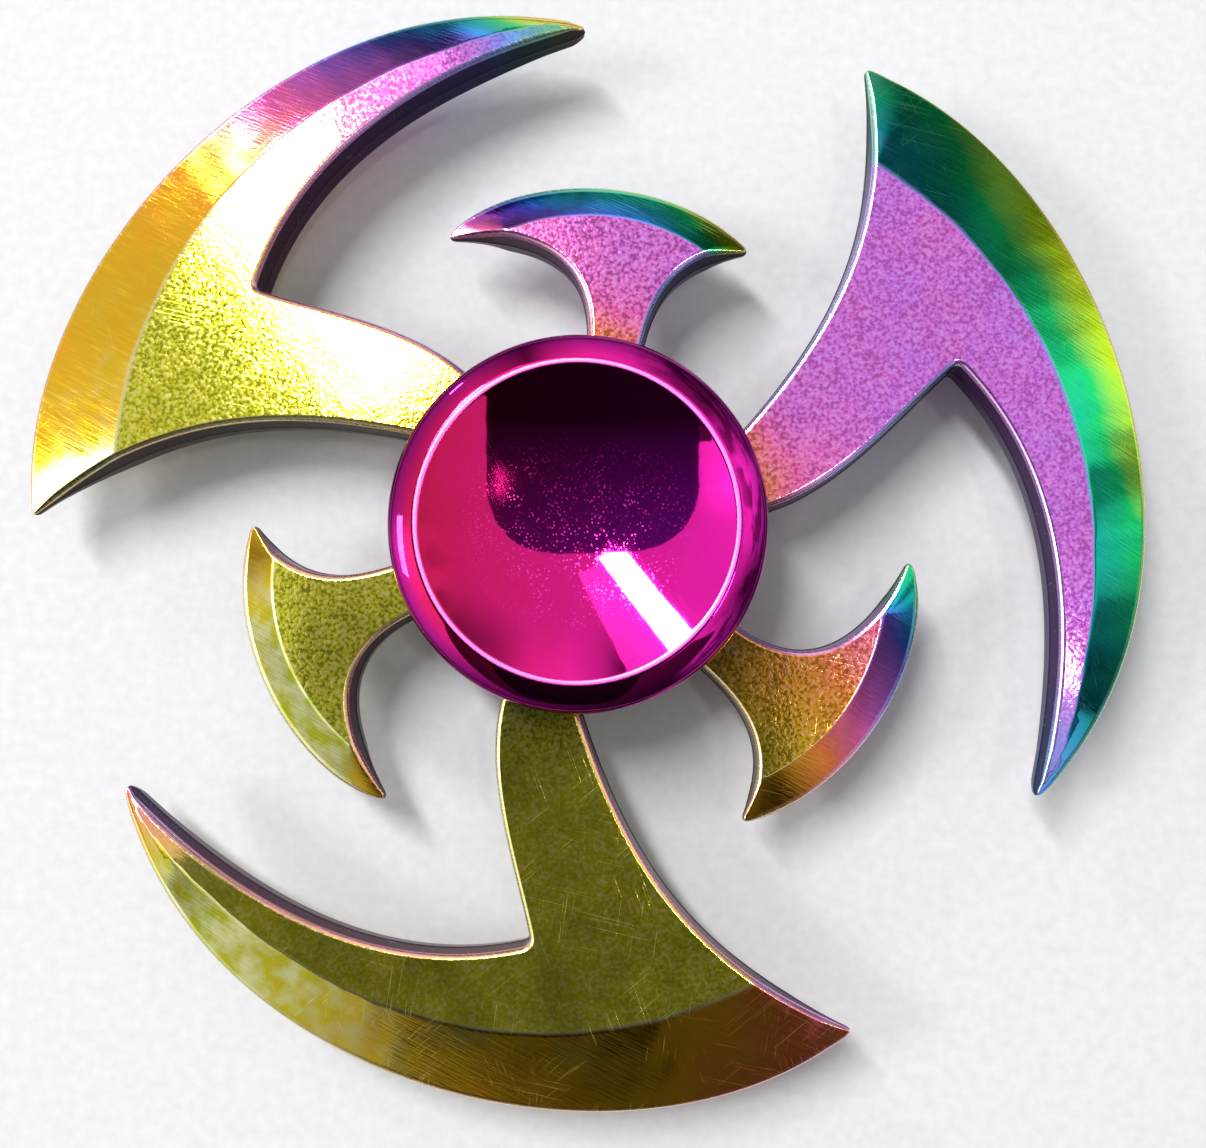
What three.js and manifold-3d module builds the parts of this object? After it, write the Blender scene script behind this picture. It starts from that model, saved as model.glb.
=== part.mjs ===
// A metal fidget spinner. One cast frame, with three sickle blades and three small hook blades,
// turns on a shielded ball bearing. Two thumb caps screw together through the bearing.
//
// Units are millimetres. The spin axis is Z, and z = 0 is the middle plane of the frame.

import * as THREE from 'three';
import { mergeVertices } from 'three/addons/utils/BufferGeometryUtils.js';
import Module from 'manifold-3d';

const wasm = await Module();
wasm.setup();

// ---- Driving dimensions ----

const bladeCount = 3;
const flatHalf = 2.0; // half the thickness between the frame's two flat faces
const edgeHalf = 0.35; // half the thickness of the blunt outer edges
const hubRadius = 10.5;
const hubHalf = 2.36;
const hubChamfer = 0.4;

// Standard 1/4 x 1/2 x 3/16 inch ball bearing.
const raceOuterRadius = 6.35;
const raceBoreRadius = 3.175;
const raceHalfWidth = 2.381;
const ballCount = 10;
const ballRadius = 0.794;
const pitchRadius = (raceOuterRadius + raceBoreRadius) / 2;
const grooveRadius = ballRadius + 0.07;
const outerLandRadius = 5.3;
const innerLandRadius = 4.22;

const cageThickness = 0.14;
const cageHalfWidth = 0.34;
const cagePocketGap = 0.05; // between a ball and its pocket
const cageSplit = 0.02; // from the middle plane to each cage half

const shieldSeat = 1.87; // height of the step that a shield rests on
const shieldThickness = 0.18;
const shieldInnerRadius = 4.36;
const seatRadius = 6.0;
const retainingLipRadius = 5.85;
const retainingLipHeight = 2.32;
const snapRingWidth = 0.4;
const snapRingThickness = 0.2;
const snapRingGap = 0.35; // angle of its opening, in radians

const fitGap = 0.02; // between pieces that are pressed or clamped together
const capRadius = 12.2;
const capUnderside = 2.9;
const capTop = 5.6;
const capFootRound = 0.35;
const crestInnerRadius = 10.15;
const crestOuterRadius = 10.5;
const dishFloor = 3.7;
const bossRadius = 4.0;
const postRadius = raceBoreRadius - fitGap;
const threadHoleRadius = 2.05;
const threadHoleTop = 3.2;
const threadStudRadius = 1.95;
const threadStudTop = 3.0;

const slopeSteps = 12; // straight steps along the sloped part of a blade
const roundSteps = 40; // facets round each turned piece
const ringSteps = 18; // straight steps round each side of a snap ring
const shoulderSteps = 5; // straight steps over a cap's rounded shoulder
const dishSteps = 7; // straight steps down a cap's thumb dish
const grooveSteps = 5; // straight steps across a race's ball groove
const archSteps = 8; // straight steps over each pocket of the cage
const curveSteps = 12; // straight steps along each edge of a blade
const cornerSteps = 4; // straight steps round a blade's corner

const point = (x, y) => new THREE.Vector2(x, y);
const edge = (a, b, c, d) => new THREE.CubicBezierCurve(a, b, c, d);

// One sickle blade. Its edges run from the hub to the short tip, round the outside to the long
// tip, back along the inside to the notch, and down the neck to the hub. The crease is where the
// flat face turns down towards the outer edge.
const sickleTip = point(19.3, 31.7);
const sickleLongTip = point(29.6, -17.9);
const sickleNotch = point(24.9, 10.9);
const sickle = {
  edges: [
    edge(point(9.3, 4.8), point(17.5, 13.5), point(20.5, 20.3), sickleTip),
    edge(sickleTip, point(36.0, 25.3), point(44.8, -4.2), sickleLongTip),
    edge(sickleLongTip, point(32.1, -7.4), point(32.2, 3.2), sickleNotch),
    edge(sickleNotch, point(21.0, 7.5), point(16.5, 1.5), point(10.5, 0.9)),
  ],
  cornerReach: [0.6, 1.2, 0.6],
  root: point(7.7, 2.2),
  crease: edge(point(19.7, 24.4), point(32.9, 16.0), point(37.2, -1.6), point(30.1, -16.2)),
};

// One small hook blade, which stands between two sickle blades.
const hookLeftTip = point(-9.25, 19.9);
const hookRightTip = point(11.5, 18.8);
const hook = {
  edges: [
    edge(point(0.2, 10.5), point(1.8, 17.8), point(-2.5, 20.2), hookLeftTip),
    edge(hookLeftTip, point(-6.1, 24.3), point(5.8, 25.3), hookRightTip),
    edge(hookRightTip, point(5.3, 18.4), point(4.4, 14.3), point(3.6, 9.9)),
  ],
  cornerReach: [0.8, 0.8],
  root: point(1.4, 7.9),
  crease: edge(point(-5.0, 20.0), point(-0.6, 21.7), point(4.4, 21.3), point(8.3, 18.5)),
};

// ---- Solids ----

function solidFrom(geometry) {
  const bare = geometry.clone();
  bare.deleteAttribute('normal');
  bare.deleteAttribute('uv');
  const merged = mergeVertices(bare, 1e-5);
  const vertProperties = new Float32Array(merged.attributes.position.array);
  const triVerts = new Uint32Array(merged.index.array);
  return new wasm.Manifold(new wasm.Mesh({ numProp: 3, vertProperties, triVerts }));
}

function geometryFrom(solid) {
  const { vertProperties, triVerts } = solid.getMesh();
  const geometry = new THREE.BufferGeometry();
  geometry.setAttribute('position', new THREE.BufferAttribute(vertProperties, 3));
  geometry.setIndex(new THREE.BufferAttribute(triVerts, 1));
  geometry.computeVertexNormals();
  return geometry;
}

// A closed solid through sections of equally many points. The sections follow on from each
// other, and either join up in a ring or end in two flat faces.
function loft(sections, joined) {
  const size = sections[0].length;
  const positions = sections.flat().flatMap((p) => [p.x, p.y, p.z]);
  const index = [];
  const last = joined ? sections.length : sections.length - 1;
  for (let i = 0; i < last; i += 1) {
    const here = i * size;
    const next = ((i + 1) % sections.length) * size;
    for (let j = 0; j < size; j += 1) {
      const k = (j + 1) % size;
      index.push(here + j, here + k, next + k, here + j, next + k, next + j);
    }
  }
  if (!joined) {
    const end = positions.length / 3 - size;
    for (let j = 1; j < size - 1; j += 1) {
      index.push(0, j + 1, j, end, end + j, end + j + 1);
    }
  }
  const geometry = new THREE.BufferGeometry();
  geometry.setAttribute('position', new THREE.Float32BufferAttribute(positions, 3));
  geometry.setIndex(index);
  return geometry;
}

// Turns a profile of [radius, height] pairs about the Z axis. The profile runs anticlockwise.
function turned(profile) {
  const points = profile.map(([radius, height]) => point(radius, height));
  const geometry = new THREE.LatheGeometry(points, roundSteps);
  geometry.rotateX(Math.PI / 2);
  return geometry;
}

const closed = (profile) => [...profile, profile[0]];
const flipped = (profile) => profile.map(([radius, height]) => [radius, -height]).reverse();

// ---- Frame ----

function slopeAt(curve, t) {
  const { v0, v1, v2, v3 } = curve;
  const first = v1.clone().sub(v0).multiplyScalar((1 - t) ** 2);
  const second = v2.clone().sub(v1).multiplyScalar(2 * t * (1 - t));
  const third = v3.clone().sub(v2).multiplyScalar(t ** 2);
  return first.add(second).add(third).multiplyScalar(3);
}

// The stretch of a cubic curve between two of its parameters.
function trimmed(curve, from, to) {
  const start = curve.getPoint(from);
  const end = curve.getPoint(to);
  const reach = (to - from) / 3;
  const leave = start.clone().addScaledVector(slopeAt(curve, from), reach);
  const arrive = end.clone().addScaledVector(slopeAt(curve, to), -reach);
  return edge(start, leave, arrive, end);
}

// The blade's outline, with each corner between two edges rounded off over its reach.
function outlineOf({ edges, cornerReach, root }) {
  const points = [root];
  edges.forEach((curve, i) => {
    const reachBefore = i > 0 ? cornerReach[i - 1] : 0;
    const reachAfter = i < cornerReach.length ? cornerReach[i] : 0;
    const from = reachBefore / slopeAt(curve, 0).length();
    const to = 1 - reachAfter / slopeAt(curve, 1).length();
    const stretch = trimmed(curve, from, to);
    if (i > 0) {
      const before = points.pop();
      const corner = new THREE.QuadraticBezierCurve(before, curve.v0, stretch.v0);
      points.push(...corner.getPoints(cornerSteps).slice(0, -1));
    }
    points.push(...stretch.getPoints(curveSteps));
  });
  return new THREE.Shape(points);
}

// The space above the slope that falls from the crease to the outer edge.
function slopeCutter(crease, outer) {
  const overrun = 0.08; // how far it runs past both ends, as a share of its length
  const inside = -0.06; // its inner and outer borders, as shares of the slope's width
  const outside = 1.3;
  const ceiling = 2 * flatHalf;
  const sections = [];
  for (let i = 0; i <= slopeSteps; i += 1) {
    const t = -overrun + ((1 + 2 * overrun) * i) / slopeSteps;
    const from = crease.getPoint(t);
    const to = outer.getPoint(t);
    const at = (share, z) => {
      const spot = from.clone().lerp(to, share);
      return new THREE.Vector3(spot.x, spot.y, z);
    };
    const height = (share) => flatHalf - share * (flatHalf - edgeHalf);
    sections.push([
      at(inside, height(inside)),
      at(outside, height(outside)),
      at(outside, ceiling),
      at(inside, ceiling),
    ]);
  }
  return loft(sections, false);
}

function turnedInsideOut(geometry) {
  const index = Array.from(geometry.index.array);
  for (let i = 0; i < index.length; i += 3) {
    [index[i], index[i + 1]] = [index[i + 1], index[i]];
  }
  geometry.setIndex(index);
  return geometry;
}

// A whole blade: its upper half, sloped towards the outer edge, and the mirror image of it.
function bladeSolid(shape, turn) {
  const settings = { depth: flatHalf, bevelEnabled: false };
  const slab = new THREE.ExtrudeGeometry(outlineOf(shape), settings);
  const outer = shape.edges[1];
  const half = geometryFrom(solidFrom(slab).subtract(solidFrom(slopeCutter(shape.crease, outer))));
  const mirrored = turnedInsideOut(half.clone().scale(1, 1, -1));
  half.rotateZ(turn);
  mirrored.rotateZ(turn);
  return solidFrom(half).add(solidFrom(mirrored));
}

function hubRing() {
  const bore = raceOuterRadius + fitGap;
  const profile = closed([
    [bore, -hubHalf],
    [hubRadius - hubChamfer, -hubHalf],
    [hubRadius, -hubHalf + hubChamfer],
    [hubRadius, hubHalf - hubChamfer],
    [hubRadius - hubChamfer, hubHalf],
    [bore, hubHalf],
  ]);
  return turned(profile);
}

function bladeFrame() {
  let frame = solidFrom(hubRing());
  for (let i = 0; i < bladeCount; i += 1) {
    const turn = (2 * Math.PI * i) / bladeCount;
    frame = frame.add(bladeSolid(sickle, turn)).add(bladeSolid(hook, turn));
  }
  return geometryFrom(frame);
}

// ---- Bearing ----

// Points round the ball groove of a race, as seen in its profile. side is 1 for the outer race,
// whose groove opens inwards, and -1 for the inner race.
function grooveArc(landRadius, side) {
  const offset = side * (landRadius - pitchRadius);
  const half = Math.acos(offset / grooveRadius);
  const points = [];
  for (let i = 0; i <= grooveSteps; i += 1) {
    const angle = half - (2 * half * i) / grooveSteps;
    const radius = pitchRadius + side * grooveRadius * Math.cos(angle);
    points.push([radius, side * grooveRadius * Math.sin(angle)]);
  }
  return points;
}

function outerRace() {
  const upperStep = [
    [raceOuterRadius, raceHalfWidth],
    [retainingLipRadius, raceHalfWidth],
    [retainingLipRadius, retainingLipHeight],
    [seatRadius, retainingLipHeight],
    [seatRadius, shieldSeat],
    [outerLandRadius, shieldSeat],
  ];
  const groove = grooveArc(outerLandRadius, 1);
  return turned(closed([...upperStep, ...groove, ...flipped(upperStep)]));
}

function innerRace() {
  const groove = grooveArc(innerLandRadius, -1);
  const profile = closed([
    [raceBoreRadius, -raceHalfWidth],
    [innerLandRadius, -raceHalfWidth],
    ...groove,
    [innerLandRadius, raceHalfWidth],
    [raceBoreRadius, raceHalfWidth],
  ]);
  return turned(profile);
}

// One stamped half of the cage: a wavy ribbon that lies flat between the balls and arches over
// each of them.
function cageHalf() {
  const under = ballRadius + cagePocketGap;
  const over = under + cageThickness;
  const foot = Math.asin(cageSplit / under);
  const sections = [];
  for (let ball = 0; ball < ballCount; ball += 1) {
    const middle = (2 * Math.PI * ball) / ballCount;
    for (let i = 0; i <= archSteps; i += 1) {
      const lean = Math.PI - foot - ((Math.PI - 2 * foot) * i) / archSteps;
      const overHeight = Math.max(over * Math.sin(lean), cageSplit + cageThickness);
      const low = [under * Math.cos(lean), under * Math.sin(lean)];
      const high = [over * Math.cos(lean), overHeight];
      sections.push(ribbonSection(middle, low, high));
    }
  }
  return loft(sections, true);
}

// The ribbon's four corners where its lower face is at one [distance along, height] and its
// upper face at another. Distances run round the pitch circle from the middle of a ball.
function ribbonSection(middle, low, high) {
  const place = ([along, height], radius) => {
    const angle = middle + along / pitchRadius;
    return new THREE.Vector3(radius * Math.cos(angle), radius * Math.sin(angle), height);
  };
  const inside = pitchRadius - cageHalfWidth;
  const outside = pitchRadius + cageHalfWidth;
  return [place(low, inside), place(high, inside), place(high, outside), place(low, outside)];
}

function shield() {
  const low = shieldSeat + fitGap;
  const rim = seatRadius - 2 * fitGap;
  const profile = closed([
    [shieldInnerRadius, low],
    [rim, low],
    [rim, low + shieldThickness],
    [shieldInnerRadius, low + shieldThickness],
  ]);
  return turned(profile);
}

// A sprung wire ring with one opening, which holds a shield under the race's lip.
function snapRing() {
  const outer = seatRadius - 2 * fitGap;
  const shape = new THREE.Shape();
  shape.absarc(0, 0, outer, snapRingGap / 2, 2 * Math.PI - snapRingGap / 2, false);
  shape.absarc(0, 0, outer - snapRingWidth, 2 * Math.PI - snapRingGap / 2, snapRingGap / 2, true);
  const settings = { depth: snapRingThickness, bevelEnabled: false, curveSegments: ringSteps };
  const geometry = new THREE.ExtrudeGeometry(shape, settings);
  geometry.translate(0, 0, shieldSeat + shieldThickness + 2 * fitGap);
  return geometry;
}

// ---- Caps ----

const capShoulder = edge(
  point(capRadius, 4.3),
  point(capRadius, 5.1),
  point(11.5, capTop),
  point(crestOuterRadius, capTop),
);
// The dish is a parabola, level at the axis.
const capDish = edge(
  point(crestInnerRadius, capTop),
  point((2 * crestInnerRadius) / 3, (capTop + 2 * dishFloor) / 3),
  point(crestInnerRadius / 3, dishFloor),
  point(0, dishFloor),
);

// The thumb cap's section from its seat on the inner race out to the rim, over the rounded
// shoulder and the flat crest, and down the dish to the axis.
function capSection() {
  const pairs = (curve, steps) => curve.getPoints(steps).map((p) => [p.x, p.y]);
  return [
    [postRadius, raceHalfWidth + fitGap],
    [bossRadius, raceHalfWidth + fitGap],
    [bossRadius, capUnderside],
    [capRadius - capFootRound, capUnderside],
    [capRadius, capUnderside + capFootRound],
    ...pairs(capShoulder, shoulderSteps),
    ...pairs(capDish, dishSteps),
  ];
}

function upperCap() {
  return turned([
    [0, threadHoleTop],
    [threadHoleRadius, threadHoleTop],
    [threadHoleRadius, fitGap],
    [postRadius, fitGap],
    ...capSection(),
  ]);
}

function lowerCap() {
  return turned([
    ...flipped(capSection()),
    [postRadius, -fitGap],
    [threadStudRadius, -fitGap],
    [threadStudRadius, threadStudTop],
    [0, threadStudTop],
  ]);
}

// ---- Assembly ----

const finish = (color, roughness) => () =>
  new THREE.MeshStandardMaterial({ color, roughness, metalness: 1 });
const rainbowPlate = finish(0xa06a9c, 0.25);
const magentaPlate = finish(0xd01c8c, 0.08);
const bearingSteel = finish(0xb9bcc0, 0.18);
const ballSteel = finish(0xd8dadd, 0.05);
const stampedSteel = finish(0xa9abac, 0.35);

const spinner = new THREE.Group();

function addPiece(name, geometry, material) {
  const mesh = new THREE.Mesh(geometry, material());
  mesh.name = name;
  spinner.add(mesh);
  return mesh;
}

// The lower one of a pair is the upper one turned over about the X axis.
function addPair(name, makeGeometry, material) {
  addPiece(`${name}_upper`, makeGeometry(), material);
  addPiece(`${name}_lower`, makeGeometry().rotateX(Math.PI), material);
}

addPiece('blade_frame', bladeFrame(), rainbowPlate);
addPiece('bearing_outer_race', outerRace(), bearingSteel);
addPiece('bearing_inner_race', innerRace(), bearingSteel);
for (let i = 0; i < ballCount; i += 1) {
  const angle = (2 * Math.PI * i) / ballCount;
  const name = `bearing_ball_${String(i + 1).padStart(2, '0')}`;
  const ball = addPiece(name, new THREE.SphereGeometry(ballRadius, 10, 6), ballSteel);
  ball.rotation.x = Math.PI / 2;
  ball.position.set(pitchRadius * Math.cos(angle), pitchRadius * Math.sin(angle), 0);
}
addPair('cage_half', cageHalf, stampedSteel);
addPair('shield', shield, stampedSteel);
addPair('snap_ring', snapRing, bearingSteel);
addPiece('cap_upper', upperCap(), magentaPlate);
addPiece('cap_lower', lowerCap(), magentaPlate);

export default spinner;
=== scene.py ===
import math

import bmesh
import bpy
import numpy as np
from mathutils import Euler, Matrix, Vector, geometry


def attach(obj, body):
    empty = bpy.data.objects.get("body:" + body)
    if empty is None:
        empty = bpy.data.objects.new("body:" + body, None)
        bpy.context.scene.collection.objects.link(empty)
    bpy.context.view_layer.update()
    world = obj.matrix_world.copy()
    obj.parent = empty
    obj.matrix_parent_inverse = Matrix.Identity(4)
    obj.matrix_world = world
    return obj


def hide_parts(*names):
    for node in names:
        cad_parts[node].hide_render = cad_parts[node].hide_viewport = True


# A metal fidget spinner: a cast frame with three sickle blades and three hooks, plated in rainbow
# colours, turns on a shielded ball bearing between two mirror-finished magenta thumb caps.
# Shapes are given in millimetres, with the spin axis along Z and z = 0 in the frame's mid plane.

MM = 0.001
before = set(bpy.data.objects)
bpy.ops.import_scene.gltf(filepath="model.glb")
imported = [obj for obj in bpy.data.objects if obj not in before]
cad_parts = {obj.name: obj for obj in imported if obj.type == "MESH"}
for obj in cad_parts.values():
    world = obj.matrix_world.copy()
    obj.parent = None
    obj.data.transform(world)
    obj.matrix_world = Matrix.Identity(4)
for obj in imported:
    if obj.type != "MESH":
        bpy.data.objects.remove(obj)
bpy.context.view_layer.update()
random = np.random.default_rng(7)

# ---- Sizes ----

SECTORS = 3
FLAT_HALF = 2.0  # half the thickness between the frame's flat faces
EDGE_HALF = 0.35  # half the thickness of the blunt outer edges
HUB_RADIUS = 10.5
HUB_HALF = 2.36
HUB_RISE = 0.4  # width of the step up from the blades to the hub
BORE_RADIUS = 6.37
BORE_ROUND = 0.2
RIM_ROUND = 0.42  # radius of the casting's rounded edges
RIM_GROWTH = 0.12  # how fast that radius grows with the distance from a sharp tip
CREASE_SOFTNESS = 0.07  # height over which a flat face turns into a slope
MESH_STEP = 0.5  # between points on the faces
EDGE_STEP = 0.3  # between points along the edges
CREASE_STEP = 0.2  # between points along the creases
CREASE_ROWS = (-0.26, -0.13, 0.0, 0.13, 0.26)  # rows of points on and beside a crease
CREASE_CLEAR = 0.42  # between a crease and the other points
HUB_RINGS = (HUB_RADIUS - 0.05, HUB_RADIUS - 0.2, HUB_RADIUS - HUB_RISE - 0.05, 8.5)
CORNER_STEPS = 10
ROUND_ROWS = 7  # rows of points round a rim
WALL_SHARES = (0.0, 0.05, 0.11, 0.4, 0.7)  # rows of points up a side wall, as shares of it
DRAFT = 0.1  # how far the side walls bulge at the parting line
SEAM = 0.05  # how far the parting line stands proud
SEAM_HALF = 0.12  # half its width

RACE_OUTER_RADIUS = 6.35
RACE_BORE_RADIUS = 3.175
RACE_HALF = 2.381
BALL_COUNT = 10
BALL_RADIUS = 0.794
PITCH_RADIUS = (RACE_OUTER_RADIUS + RACE_BORE_RADIUS) / 2
GROOVE_RADIUS = BALL_RADIUS + 0.07
OUTER_LAND = 5.3
INNER_LAND = 4.22
SHIELD_SEAT = 1.87
SHIELD_THICKNESS = 0.18
SHIELD_INNER_RADIUS = 4.36
SEAT_RADIUS = 6.0
LIP_RADIUS = 5.85
LIP_HEIGHT = 2.32
SNAP_RING_WIDTH = 0.4
SNAP_RING_THICKNESS = 0.2
SNAP_RING_GAP = 0.35  # angle of its opening, in radians
CAGE_THICKNESS = 0.14
CAGE_HALF_WIDTH = 0.34
CAGE_POCKET_GAP = 0.05
CAGE_SPLIT = 0.02
FIT_GAP = 0.02

CAP_RADIUS = 12.2
CAP_UNDERSIDE = 2.9
CAP_TOP = 5.6
CAP_FOOT_ROUND = 0.35
CREST_INNER_RADIUS = 10.15
CREST_OUTER_RADIUS = 10.5
CREST_MIDDLE = 10.25  # radius of the painted highlight line round the dish
CREST_ROUND = 0.2
DISH_FLOOR = 3.7
DISH_DEPTH = CAP_TOP - DISH_FLOOR
CAP_SHOULDER = [(CAP_RADIUS, 4.3), (CAP_RADIUS, 5.1), (11.6, 5.3), (CREST_OUTER_RADIUS, CAP_TOP)]
BOSS_RADIUS = 4.0
POST_RADIUS = RACE_BORE_RADIUS - FIT_GAP
THREAD_HOLE_RADIUS = 2.05
THREAD_HOLE_TOP = 3.2
THREAD_STUD_RADIUS = 1.95
THREAD_STUD_TOP = 3.0

# One sickle blade, anticlockwise: out along the neck, along the inside to the long tip, back
# round the outside to the short tip, and down the leading edge to the hub.
SICKLE_TIP = (19.3, 31.7)
SICKLE_LONG_TIP = (29.6, -17.9)
SICKLE_NOTCH = (24.9, 10.9)
SICKLE_NECK = [(10.5, 0.9), (16.5, 1.5), (21.0, 7.5), SICKLE_NOTCH]
SICKLE_INNER = [SICKLE_NOTCH, (32.2, 3.2), (32.1, -7.4), SICKLE_LONG_TIP]
SICKLE_OUTER = [SICKLE_LONG_TIP, (44.8, -4.2), (36.0, 25.3), SICKLE_TIP]
SICKLE_LEADING = [SICKLE_TIP, (20.5, 20.3), (17.5, 13.5), (9.3, 4.8)]
SICKLE_CREASE = [(30.1, -16.2), (37.2, -1.6), (32.9, 16.0), (19.7, 24.4)]

# One hook, anticlockwise: out along its right edge, over the top, and down its left edge.
HOOK_LEFT_TIP = (-9.25, 19.9)
HOOK_RIGHT_TIP = (11.5, 18.8)
HOOK_RIGHT = [(3.6, 9.9), (4.4, 14.3), (5.3, 18.4), HOOK_RIGHT_TIP]
HOOK_OUTER = [HOOK_RIGHT_TIP, (5.8, 25.3), (-6.1, 24.3), HOOK_LEFT_TIP]
HOOK_LEFT = [HOOK_LEFT_TIP, (-2.5, 20.2), (1.8, 17.8), (0.2, 10.5)]
HOOK_CREASE = [(8.3, 18.5), (4.4, 21.3), (-0.6, 21.7), (-5.0, 20.0)]

HUB, SICKLE, HOOK = 0, 1, 2

# The plating film. Its thickness is a share of its run of colours.
SLOPE_TILT = 0.26  # level part of the normal on a full slope
FRONT_LEFT = -145  # the way, in degrees, that the thinnest slopes face
RIM_FILM = 0.15  # how much thicker the film is round the rims
RIM_FILM_SIDE = 45  # the way, in degrees, that the thickest rims face
WORN_HOOK = (-15, -8)  # middle of the hook with the dullest plating


# ---- Curves and numbers ----

def smooth(share):
    """0 below 0, 1 above 1, and an easy curve between."""
    share = np.clip(share, 0, 1)
    return share * share * (3 - 2 * share)


def fade(value, start, end):
    """0 as far as start, 1 from end on, and an easy curve between."""
    return smooth((value - start) / (end - start))


def bezier(control, t):
    """Points on the Bezier curve with these control points."""
    t = np.asarray(t, float)[:, None]
    level = [np.asarray(p, float) + 0 * t for p in control]
    while len(level) > 1:
        level = [a + (b - a) * t for a, b in zip(level, level[1:])]
    return level[0]


def whole(control, steps=240):
    return bezier(control, np.linspace(0, 1, steps + 1))


def spaced(line, step, from_start=0.0, from_end=0.0):
    """A line of points, cut back at both ends and spaced evenly."""
    length = np.concatenate([[0], np.cumsum(np.hypot(*np.diff(line, axis=0).T))])
    last = length[-1] - from_end
    count = max(2, math.ceil((last - from_start) / step))
    at = np.linspace(from_start, last, count + 1)
    return np.column_stack([np.interp(at, length, line[:, axis]) for axis in (0, 1)])


def arc(radius_from, angle_from, radius_to, angle_to):
    radius, angle = np.linspace((radius_from, angle_from), (radius_to, angle_to), 60).T
    return np.column_stack([radius * np.cos(angle), radius * np.sin(angle)])


def polar(point):
    return math.hypot(*point), math.atan2(point[1], point[0])


def turned_by(points, angle):
    """Points or directions, turned about the spin axis."""
    moved = np.array(points, float)
    cos, sin = math.cos(angle), math.sin(angle)
    moved[:, 0] = points[:, 0] * cos - points[:, 1] * sin
    moved[:, 1] = points[:, 0] * sin + points[:, 1] * cos
    return moved


def nearest(points, line):
    """How far each point is from a line of points, and its side: 1 is left and -1 right."""
    along = np.diff(line, axis=0)
    gap = points[:, None] - line[:-1]
    share = (gap * along).sum(2) / (along ** 2).sum(1)
    off = gap - np.clip(share, 0, 1)[..., None] * along
    distance = np.hypot(off[..., 0], off[..., 1])
    best = distance.argmin(1)
    rows = np.arange(len(points))
    step, reach = along[best], gap[rows, best]
    side = np.sign(step[:, 0] * reach[:, 1] - step[:, 1] * reach[:, 0])
    return distance[rows, best], side


def inside(points, polygon):
    """Whether each point is inside a closed polygon."""
    a, b = polygon, np.roll(polygon, -1, axis=0)
    x, y = points[:, :1], points[:, 1:]
    crosses = (a[:, 1] > y) != (b[:, 1] > y)
    rise = np.where(a[:, 1] == b[:, 1], 1, b[:, 1] - a[:, 1])
    left = x < a[:, 0] + (y - a[:, 1]) * (b[:, 0] - a[:, 0]) / rise
    return (crosses & left).sum(1) % 2 == 1


def unit(vectors):
    return vectors / np.maximum(np.linalg.norm(vectors, axis=1, keepdims=True), 1e-12)


# ---- Casting ----

LINES = {
    SICKLE: (whole(SICKLE_OUTER), whole(SICKLE_CREASE)),
    HOOK: (whole(HOOK_OUTER), whole(HOOK_CREASE)),
}
RIPPLE_COUNT = 9
RIPPLES = list(zip(
    random.uniform(2.2, 7.0, RIPPLE_COUNT),
    random.uniform(0, math.pi, RIPPLE_COUNT),
    random.uniform(0, 2 * math.pi, RIPPLE_COUNT),
))
ROOTS = {SICKLE: (7.7, 2.2), HOOK: (1.4, 7.9)}  # behind each blade, in the hub
TIP_TAPER = 0.9  # how much lower a sickle's flat face is at its long tip
TIP_TAPER_LENGTH = 11.0
SLOPE_RIPPLE = 0.0035  # height of each ripple left by polishing the slopes
FLAT_RIPPLE = 0.0006


def ripple(points):
    total = np.zeros(len(points))
    for length, angle, phase in RIPPLES:
        along = points[:, 0] * math.cos(angle) + points[:, 1] * math.sin(angle)
        total += np.sin(2 * math.pi * along / length + phase)
    return total


def half_thickness(points, shape):
    """Height of the casting's face above the mid plane, in the first sector."""
    radius = np.hypot(points[:, 0], points[:, 1])
    rise = (HUB_HALF - FLAT_HALF) * smooth((HUB_RADIUS - radius) / HUB_RISE)
    if shape == HUB:
        return FLAT_HALF + rise
    outer, crease = LINES[shape]
    to_outer, _ = nearest(points, outer)
    to_crease, side = nearest(points, crease)
    share = to_outer / np.maximum(to_outer - side * to_crease, 0.05)
    slope = EDGE_HALF + (FLAT_HALF - EDGE_HALF) * share
    flat = FLAT_HALF
    if shape == SICKLE:
        to_tip = np.hypot(*(points - SICKLE_LONG_TIP).T)
        flat = FLAT_HALF - TIP_TAPER * np.clip(1 - to_tip / TIP_TAPER_LENGTH, 0, 1) ** 2
    blend = np.clip(0.5 + 0.5 * (slope - flat) / CREASE_SOFTNESS, 0, 1)
    face = slope + (flat - slope) * blend - CREASE_SOFTNESS * blend * (1 - blend)
    uneven = SLOPE_RIPPLE + (FLAT_RIPPLE - SLOPE_RIPPLE) * blend
    return face + rise + uneven * ripple(points)


def face_at(points, shapes):
    """Height and upward normal of the casting's face at points of the first sector."""
    height = np.zeros(len(points))
    slope = np.zeros((len(points), 2))
    probe = 0.02
    for shape in (HUB, SICKLE, HOOK):
        mine = shapes == shape
        if not mine.any():
            continue
        here = points[mine]
        height[mine] = half_thickness(here, shape)
        for axis in (0, 1):
            step = np.eye(2)[axis] * probe
            ahead = half_thickness(here + step, shape)
            behind = half_thickness(here - step, shape)
            slope[mine, axis] = (ahead - behind) / (2 * probe)
    return height, unit(np.column_stack([-slope, np.ones(len(points))]))


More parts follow.
